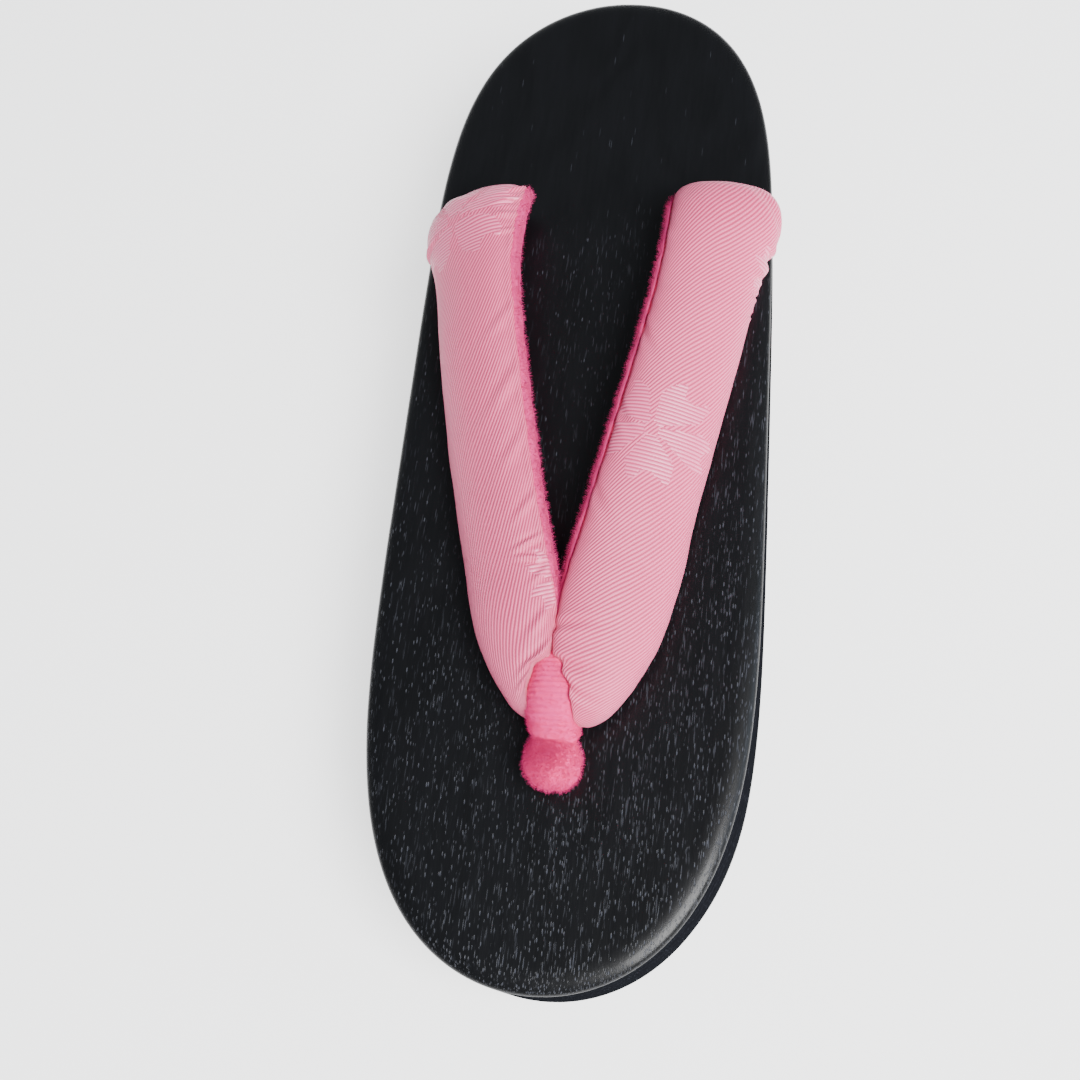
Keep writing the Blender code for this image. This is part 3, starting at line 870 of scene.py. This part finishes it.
def cord_knot(name, x, y, middle, top, material):
    """A cord that comes down its hole and is knotted under the wood."""
    def knot(share):
        turn = share * math.tau * 0.985
        return Vector((
            x + KNOT_SIZE * (math.sin(turn) + 2 * math.sin(2 * turn)),
            y + KNOT_SIZE * (math.cos(turn) - 2 * math.cos(2 * turn)),
            middle - (KNOT_HALF_HEIGHT - ROPE) * math.sin(3 * turn),
        ))

    def place(around, along):
        travel = (knot(along + 0.002) - knot(along - 0.002)).normalized()
        side = travel.cross(Vector((0, 0, 1))).normalized()
        up = side.cross(travel)
        angle = math.tau * around
        close = 1 - abs(2 * along - 1) ** 40
        way = side * math.cos(angle) + up * math.sin(angle)
        return knot(along) + way * ROPE * (0.3 + 0.7 * close)

    wound = piece_from(name, skin(20, 160, place), material, smooth_to=0)
    on_root(wound, "pink_velvet")

    def stem(around, along):
        angle = math.tau * around
        reach = CORD_WIDTH / 2 * (1 + 0.05 * math.cos(3 * angle + along * 9))
        z = mix(middle, top, along)
        return Vector((x + math.cos(angle) * reach, y + math.sin(angle) * reach, z))

    cord = piece_from(f"{name}_cord", skin(36, 30, stem), material, smooth_to=60)
    on_root(cord, "pink_velvet")


# Materials

class Finish:
    """A material whose nodes are added by name, with their settings and socket values."""

    def __init__(self, name):
        self.material = bpy.data.materials.new(name)
        self.material.use_nodes = True
        self.tree = self.material.node_tree
        self.shader = self.tree.nodes["Principled BSDF"]

    def node(self, kind, settings=None, sockets=None, output=0):
        """Adds a node. Settings are set first, then sockets get values or links."""
        node = self.tree.nodes.new(kind)
        for key, value in (settings or {}).items():
            setattr(node, key, value)
        for key, value in (sockets or {}).items():
            self.feed(node.inputs[key], value)
        return Wire(self, node.outputs[output])

    def feed(self, socket, value):
        """Links a wire to a socket, or sets the socket's own value."""
        if isinstance(value, Wire):
            self.tree.links.new(value.socket, socket)
        elif isinstance(value, tuple) and len(value) == 3 and socket.type == "RGBA":
            socket.default_value = (*value, 1)
        else:
            socket.default_value = value

    def surface(self, **values):
        """Sets the shader's sockets, each named with underscores for spaces."""
        for key, value in values.items():
            self.feed(self.shader.inputs[key.replace("_", " ")], value)
        return self.material

    def axes(self, uv=False, turn=0.0):
        """X, Y and Z in millimetres, of the object or of the cloth's UV map."""
        if uv:
            place = self.node("ShaderNodeUVMap", {"uv_map": "cloth"})
            scale = 1.0
        else:
            place = self.node("ShaderNodeTexCoord", output="Object")
            scale = 1 / MM
        placed = self.node("ShaderNodeMapping", None, {
            "Vector": place, "Rotation": (0, 0, turn), "Scale": (scale, scale, scale),
        })
        node = self.tree.nodes.new("ShaderNodeSeparateXYZ")
        self.feed(node.inputs[0], placed)
        return [Wire(self, node.outputs[k]) for k in range(3)]

    def vector(self, x, y, z=0.0):
        """One vector from three values."""
        return self.node("ShaderNodeCombineXYZ", None, {0: x, 1: y, 2: z})

    def noise(self, vector, detail=3.0, roughness=0.5):
        """Soft noise from 0 to 1."""
        return self.node("ShaderNodeTexNoise", None, {
            "Vector": vector, "Scale": 1.0, "Detail": detail, "Roughness": roughness,
        })

    def cells(self, vector):
        """Distance to the nearest of scattered dots, and two numbers of that dot's own."""
        node = self.tree.nodes.new("ShaderNodeTexVoronoi")
        self.feed(node.inputs["Vector"], vector)
        node.inputs["Scale"].default_value = 1.0
        node.inputs["Randomness"].default_value = 1.0
        own = self.tree.nodes.new("ShaderNodeSeparateColor")
        self.feed(own.inputs[0], Wire(self, node.outputs["Color"]))
        return (
            Wire(self, node.outputs["Distance"]),
            Wire(self, own.outputs[0]), Wire(self, own.outputs[1]),
        )

    def ramp(self, value, low, high):
        """A soft step of a value, from 0 at low to 1 at high."""
        return self.node("ShaderNodeMapRange", {"interpolation_type": "SMOOTHSTEP"}, {
            "Value": value, "From Min": low, "From Max": high,
        })

    def blend(self, factor, first, second):
        """One colour over another by a factor."""
        node = self.tree.nodes.new("ShaderNodeMix")
        node.data_type = "RGBA"
        self.feed(node.inputs[0], factor)
        self.feed(node.inputs[6], first)
        self.feed(node.inputs[7], second)
        return Wire(self, node.outputs[2])

    def bump(self, height, distance, strength, over=None):
        """A bump of a height from 0 to 1 times a distance, over another bump if it is given."""
        sockets = {"Height": height, "Distance": distance, "Strength": strength}
        if over is not None:
            sockets["Normal"] = over
        return self.node("ShaderNodeBump", None, sockets)


class Wire:
    """A socket in a sum: each operator adds the Math node that it stands for."""

    def __init__(self, finish, socket):
        self.finish = finish
        self.socket = socket

    def math(self, operation, *values):
        """A Math node on these values, this wire among them."""
        return self.finish.node(
            "ShaderNodeMath", {"operation": operation}, dict(enumerate(values)))

    def __add__(self, other):
        return self.math("ADD", self, other)

    def __sub__(self, other):
        return self.math("SUBTRACT", self, other)

    def __mul__(self, other):
        return self.math("MULTIPLY", self, other)

    def __truediv__(self, other):
        return self.math("DIVIDE", self, other)

    def __pow__(self, other):
        return self.math("POWER", self, other)

    def __radd__(self, other):
        return self.math("ADD", other, self)

    def __rsub__(self, other):
        return self.math("SUBTRACT", other, self)

    def __rmul__(self, other):
        return self.math("MULTIPLY", other, self)

    def __lt__(self, other):
        return self.math("LESS_THAN", self, other)

    def __gt__(self, other):
        return self.math("GREATER_THAN", self, other)

    def floor(self):
        return self.math("FLOOR", self)

    def cosine(self):
        return self.math("COSINE", self)

    def most(self, other):
        return self.math("MAXIMUM", self, other)

    def least(self, other):
        return self.math("MINIMUM", self, other)

    def size(self):
        return self.math("ABSOLUTE", self)


def lacquered_wood(name, gloss, coat, painted_reflection_tone=1.0, pore_and_glint_amount=1.0):
    """Black lacquer over open-grained wood: pale pore flecks, partly dust in the pores and partly
    painted glints, fine fibres and faint growth lines.
    """
    f = Finish(name)
    x, y, z = f.axes(turn=math.radians(2))
    # Growth rings lie round the log's heart, which is far below the deck
    drift = f.noise(f.vector(x / 26, y / 70, z / 26), detail=2)
    heart = ((x - 8) ** 2 + (z + 95) ** 2) ** 0.5
    rings = heart + (drift - 0.5) * 26
    band = (rings * (math.tau / 4.6)).cosine() * 0.5 + 0.5
    patch = f.noise(f.vector(x / 9, y / 26, z / 9), detail=2)

    # More pale flecks at the toe and on the right, as painted glints where the lacquer catches
    # the light, and more open grain in one figure and at the toe's brink
    toe = f.ramp(y, 5, -70)
    right = f.ramp(x, -10, 34) * f.ramp(y, 60, 10)
    figure = f.ramp((x - 9 - (y + 84) * 0.16).size(), 5.5, 0.5) * f.ramp(y, -74, -86)
    brink = f.ramp(y, -103, -113)
    pore_and_glint_crowd = 0.05 + toe * 0.28 + right * 0.16 + band * 0.07 + (patch - 0.5) * 0.40 + figure * 0.35
    pore_and_glint_crowd = (pore_and_glint_crowd + brink * 0.25 - f.ramp(y, 35, 75) * 0.22) * pore_and_glint_amount

    def pores(wide, long, shift, keep, low):
        """Slots of the grain: how open each is, from its cell of scattered dots."""
        near, own, light = f.cells(f.vector(x / wide + shift, y / long + shift, z / wide))
        return f.ramp(near, 0.31, 0.15) * (own < keep) * (light * (1 - low) + low)

    short = pores(0.56, 2.1, 0.0, pore_and_glint_crowd * 1.2, 0.25)
    fine = pores(0.42, 1.7, 4.1, pore_and_glint_crowd * 0.65, 0.15)
    dashes = pore_and_glint_crowd * 0.45 + (0.10 + f.ramp(y, 64, 44) * 0.20 + brink * 0.25) * pore_and_glint_amount
    streak = pores(0.44, 6.0, 7.3, dashes, 0.10)
    pores_and_glints = short.most(fine * 0.6).most(streak * (0.5 + brink * 0.5))
    thin = f.noise(f.vector(x * 2.3, y / 5.5, z * 2.3), detail=2)
    pores_and_glints = pores_and_glints.most(
        f.ramp(thin, 0.60, 0.74) * f.ramp(y, 60, 42) * (0.22 + right * 0.3) * pore_and_glint_amount)

    fibre = f.noise(f.vector(x * 3.2, y / 5, z * 3.2), detail=3)
    broad = f.noise(f.vector(x / 1.4, y / 22, z / 1.4), detail=3)
    shade = band * 0.25 + broad * 0.45 + fibre * 0.3
    # A tone above 1 lightens the lacquer's colour: painted reflection, used on the walls, whose
    # own reflection is turned off
    dark, light = (tuple(painted_reflection_tone * part for part in base) for base in (LACQUER_DARK, LACQUER_LIGHT))
    # The pale flecks are partly dust in open pores and partly painted glints
    colour = f.blend(pores_and_glints, f.blend(shade, dark, light), PORE_DUST_AND_GLINT)
    rough = 0.31 + fibre * 0.10 + pores_and_glints * 0.25 + (broad - 0.5) * 0.10
    relief = f.bump(fibre * 0.45 + broad * 0.55, 0.05 * MM, 0.5)
    relief = f.bump(1 - pores_and_glints, 0.10 * MM, 0.7, relief)
    return f.surface(
        Base_Color=colour, Roughness=rough, Normal=relief, Coat_Weight=coat,
        Coat_Roughness=0.14, Specular_IOR_Level=gloss,
    )


def grey_rubber():
    """Dull rubber, finely ribbed underneath."""
    f = Finish("dull_rubber")
    x, y, z = f.axes()
    grit = f.noise(f.vector(x * 2.4, y * 2.4, z * 2.4), detail=4)
    cloud = f.noise(f.vector(x / 14, y / 14, z / 14), detail=2)
    ribs = (y * (math.tau / 1.7)).cosine() * (z < 0.3) * 0.5 + 0.5
    colour = f.blend(cloud * 0.6 + grit * 0.4, RUBBER_DARK, RUBBER_LIGHT)
    relief = f.bump(ribs, 0.25 * MM, 0.7)
    relief = f.bump(grit, 0.06 * MM, 0.5, relief)
    return f.surface(
        Base_Color=colour, Roughness=0.70 + grit * 0.2, Normal=relief, Specular_IOR_Level=0.1,
    )


FLOWERS = {
    # centre across and along in mm, size and turn of each woven flower
    "right": ((-3.3, -6.6, 12.4, 0.18), (14.5, 40.0, 9.0, 1.0)),
    "left": ((-2.0, 49.0, 12.5, 0.9), (13.0, -43.0, 9.0, 0.1)),
}


def brocade(name, flowers, slope):
    """Satin twill with woven flowers whose lines run the other way."""
    f = Finish(name)
    u, v, _ = f.axes(uv=True)
    wander = f.noise(f.vector(u / 20, v / 20), detail=1)
    fine = f.noise(f.vector(u * 1.6, v * 1.6), detail=3)
    cloud = f.noise(f.vector(u / 9, v / 16), detail=2)

    def lines(turn, pitch, breaks):
        """Twill lines at a turn from the strap's length, as ridges from 0 to 1."""
        across, down = math.cos(turn), math.sin(turn)
        count = (u * across - v * down) / pitch + (wander - 0.5) * 0.5
        ridge = (count * math.tau).cosine() * 0.5 + 0.5
        step = (u * down + v * across) / breaks + count.floor() * 0.37
        thread = (step * math.tau).cosine() * 0.5 + 0.5
        return ridge * (0.78 + thread * 0.22)

    ground = lines(math.radians(slope), 0.64, 0.62)
    petal = lines(math.radians(86), 0.84, 0.55)
    # The flowers' edges run in steps of one thread
    across, along = (u / 0.6).floor() * 0.6, (v / 0.6).floor() * 0.6
    bloom = None
    for middle_u, middle_v, size, turn in flowers:
        du, dv = across - middle_u, along - middle_v
        away = (du * du + dv * dv) ** 0.5
        angle = dv.math("ARCTAN2", dv, du) + turn
        lobe = (angle * 2.5).cosine().size()
        reach = size * (0.46 + lobe.least(0.80) * 0.66) - f.ramp(lobe, 0.86, 1.0) * size * 0.20
        apart = f.ramp(lobe, 0.28, 0.38)
        shape = f.ramp(reach - away, 0.0, 0.4) * (away > size * 0.11) * apart
        bloom = shape if bloom is None else bloom.most(shape)
    height = f.blend(bloom, *(f.vector(lie, lie, lie) for lie in (ground, petal)))
    height = f.node("ShaderNodeSeparateColor", None, {0: height})
    cloth = f.blend(f.ramp(ground, 0.05, 0.8), CLOTH_DEEP, CLOTH_LIGHT)
    flower = f.blend(f.ramp(petal, 0.05, 0.7), FLOWER_DEEP, FLOWER_LIGHT)
    colour = f.blend(bloom, cloth, flower)
    colour = f.blend(fine * 0.10 + cloud * 0.10, colour, FLOWER_LIGHT)
    relief = f.bump(height, 0.15 * MM, 0.75)
    relief = f.bump(fine, 0.05 * MM, 0.35, relief)
    return f.surface(
        Base_Color=colour, Roughness=0.46 - bloom * 0.16 + fine * 0.08, Normal=relief,
        Sheen_Weight=0.15, Sheen_Roughness=0.4, Specular_IOR_Level=0.5,
    )


def velvet(name, deep, light, ribs=0.0):
    """Short pile, lighter where it is brushed up."""
    f = Finish(name)
    x, y, z = f.axes()
    pile = f.noise(f.vector(x * 5.5, y * 5.5, z * 5.5), detail=4, roughness=0.65)
    nap = f.noise(f.vector(x / 2.2, y / 2.2, z / 2.2), detail=3)
    rib = (y * (math.tau / 1.05)).cosine() * 0.5 + 0.5
    colour = f.blend(pile * 0.55 + nap * 0.45 + (rib - 0.5) * ribs * 0.5, deep, light)
    relief = f.bump(nap, 0.3 * MM, 0.5)
    relief = f.bump(pile + rib * ribs, 0.22 * MM, 0.8, relief)
    return f.surface(
        Base_Color=colour, Roughness=0.95, Normal=relief, Sheen_Weight=0.12,
        Sheen_Roughness=0.45, Sheen_Tint=(*light, 1), Specular_IOR_Level=0.05,
    )


# Stage

def plain_floor():
    """A wide pale floor just under the rubber."""
    bm = bmesh.new()
    bmesh.ops.create_grid(bm, x_segments=1, y_segments=1, size=3)
    f = Finish("pale_floor")
    material = f.surface(
        Base_Color=(0.90, 0.90, 0.90), Roughness=0.9, Specular_IOR_Level=0.1,
        Emission_Color=(1, 1, 1), Emission_Strength=1.6,
    )
    floor = piece_from("floor", bm, material)
    floor.data.transform(Matrix.Translation((0, 0, -0.05 * MM)))


def soft_light(name, place, aim, size, watts, colour=(1, 1, 1)):
    """A square soft box that faces a point."""
    lamp = bpy.data.lights.new(name, "AREA")
    lamp.energy = watts
    lamp.size = size
    lamp.color = colour
    box = bpy.data.objects.new(name, lamp)
    box.location = place
    box.rotation_euler = (Vector(aim) - Vector(place)).to_track_quat("-Z", "Y").to_euler()
    bpy.context.scene.collection.objects.link(box)


def studio():
    """A large soft light at the front right, a low one at the right and a dim, pale room."""
    world = bpy.data.worlds.new("pale_room")
    world.use_nodes = True
    room = world.node_tree.nodes["Background"]
    room.inputs["Color"].default_value = (0.88, 0.93, 1.0, 1)
    room.inputs["Strength"].default_value = 0.30
    bpy.context.scene.world = world
    middle = (0, 0, 0.02)
    soft_light("key", (0.75, -0.60, 1.10), middle, 0.8, 50)
    soft_light("side", (1.10, 0.05, 0.50), middle, 0.6, 3.4, (0.68, 0.82, 1.0))


def photo_camera():
    """The camera at the photograph's place, turn and lens."""
    camera = bpy.data.cameras.new("photo_camera")
    camera.sensor_width = SENSOR_WIDTH
    camera.sensor_fit = "HORIZONTAL"
    camera.lens = CAMERA_LENS
    camera.clip_start = 10 * MM
    holder = bpy.data.objects.new("photo_camera", camera)
    look = (CAMERA_AIM - CAMERA_PLACE).to_track_quat("-Z", "Y").to_matrix()
    roll = Matrix.Rotation(CAMERA_ROLL, 3, "Z")
    holder.matrix_world = Matrix.Translation(CAMERA_PLACE) @ (look @ roll).to_4x4()
    bpy.context.scene.collection.objects.link(holder)
    bpy.context.scene.camera = holder


# Build

def build():
    """Makes every piece of the sandal."""
    wood = lacquered_wood("black_lacquered_wood", 0.26, 0.08)
    # The walls' lacquer is lighter and reflects nothing: painted reflection in place of the
    # lacquer's own
    painted_reflection_side_wood = lacquered_wood("black_lacquered_side_painted_reflection", 0.0, 0.0, painted_reflection_tone=2.4, pore_and_glint_amount=0.35)
    rubber = grey_rubber()
    lining = velvet("deep_velvet", LINING_DEEP, LINING_LIGHT)
    pile = velvet("thong_velvet", THONG_DEEP, THONG_LIGHT, ribs=0.25)

    geta_body(wood, painted_reflection_side_wood)
    forefoot_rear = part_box("forefoot_rubber_sheet")[1].y
    rubber_sheet("heel_rubber", "heel_rubber_sheet", HEEL_FRONT, END_STATION, rubber)
    rubber_sheet("forefoot_rubber", "forefoot_rubber_sheet", -END_STATION, forefoot_rear, rubber)

    for name, table, side, slant, seam, creases, fibres in (
        ("left", LEFT_STRAP, -1, 0.34, 0.700, LEFT_CREASES, 6500),
        ("right", RIGHT_STRAP, 1, 0.10, 0.748, RIGHT_CREASES, 5500),
    ):
        strap = Strap(name, side, table, slant, seam)
        padded_strap(strap, creases, brocade(f"{name}_brocade", FLOWERS[name], 27 + 2.5 * side))
        velvet_lining(strap, lining)
        lining_fuzz(strap, fibres, lining)

    thong_band(pile)
    thong_foot(pile)
    thong_fuzz(pile)

    for name, side in (("left_knot", -1), ("right_knot", 1)):
        x, y = ASIDE + side * REAR_HOLE.x, REAR_HOLE.y
        cord_knot(name, x, y, REAR_KNOT_Z, deck_top(y) + 4.5 * MM, lining)
    top = deck_top(FRONT_HOLE_Y) + 2 * MM
    cord_knot("front_knot", ASIDE, FRONT_HOLE_Y, FRONT_KNOT_Z, top, pile)


photo_camera()
studio()
plain_floor()
build()
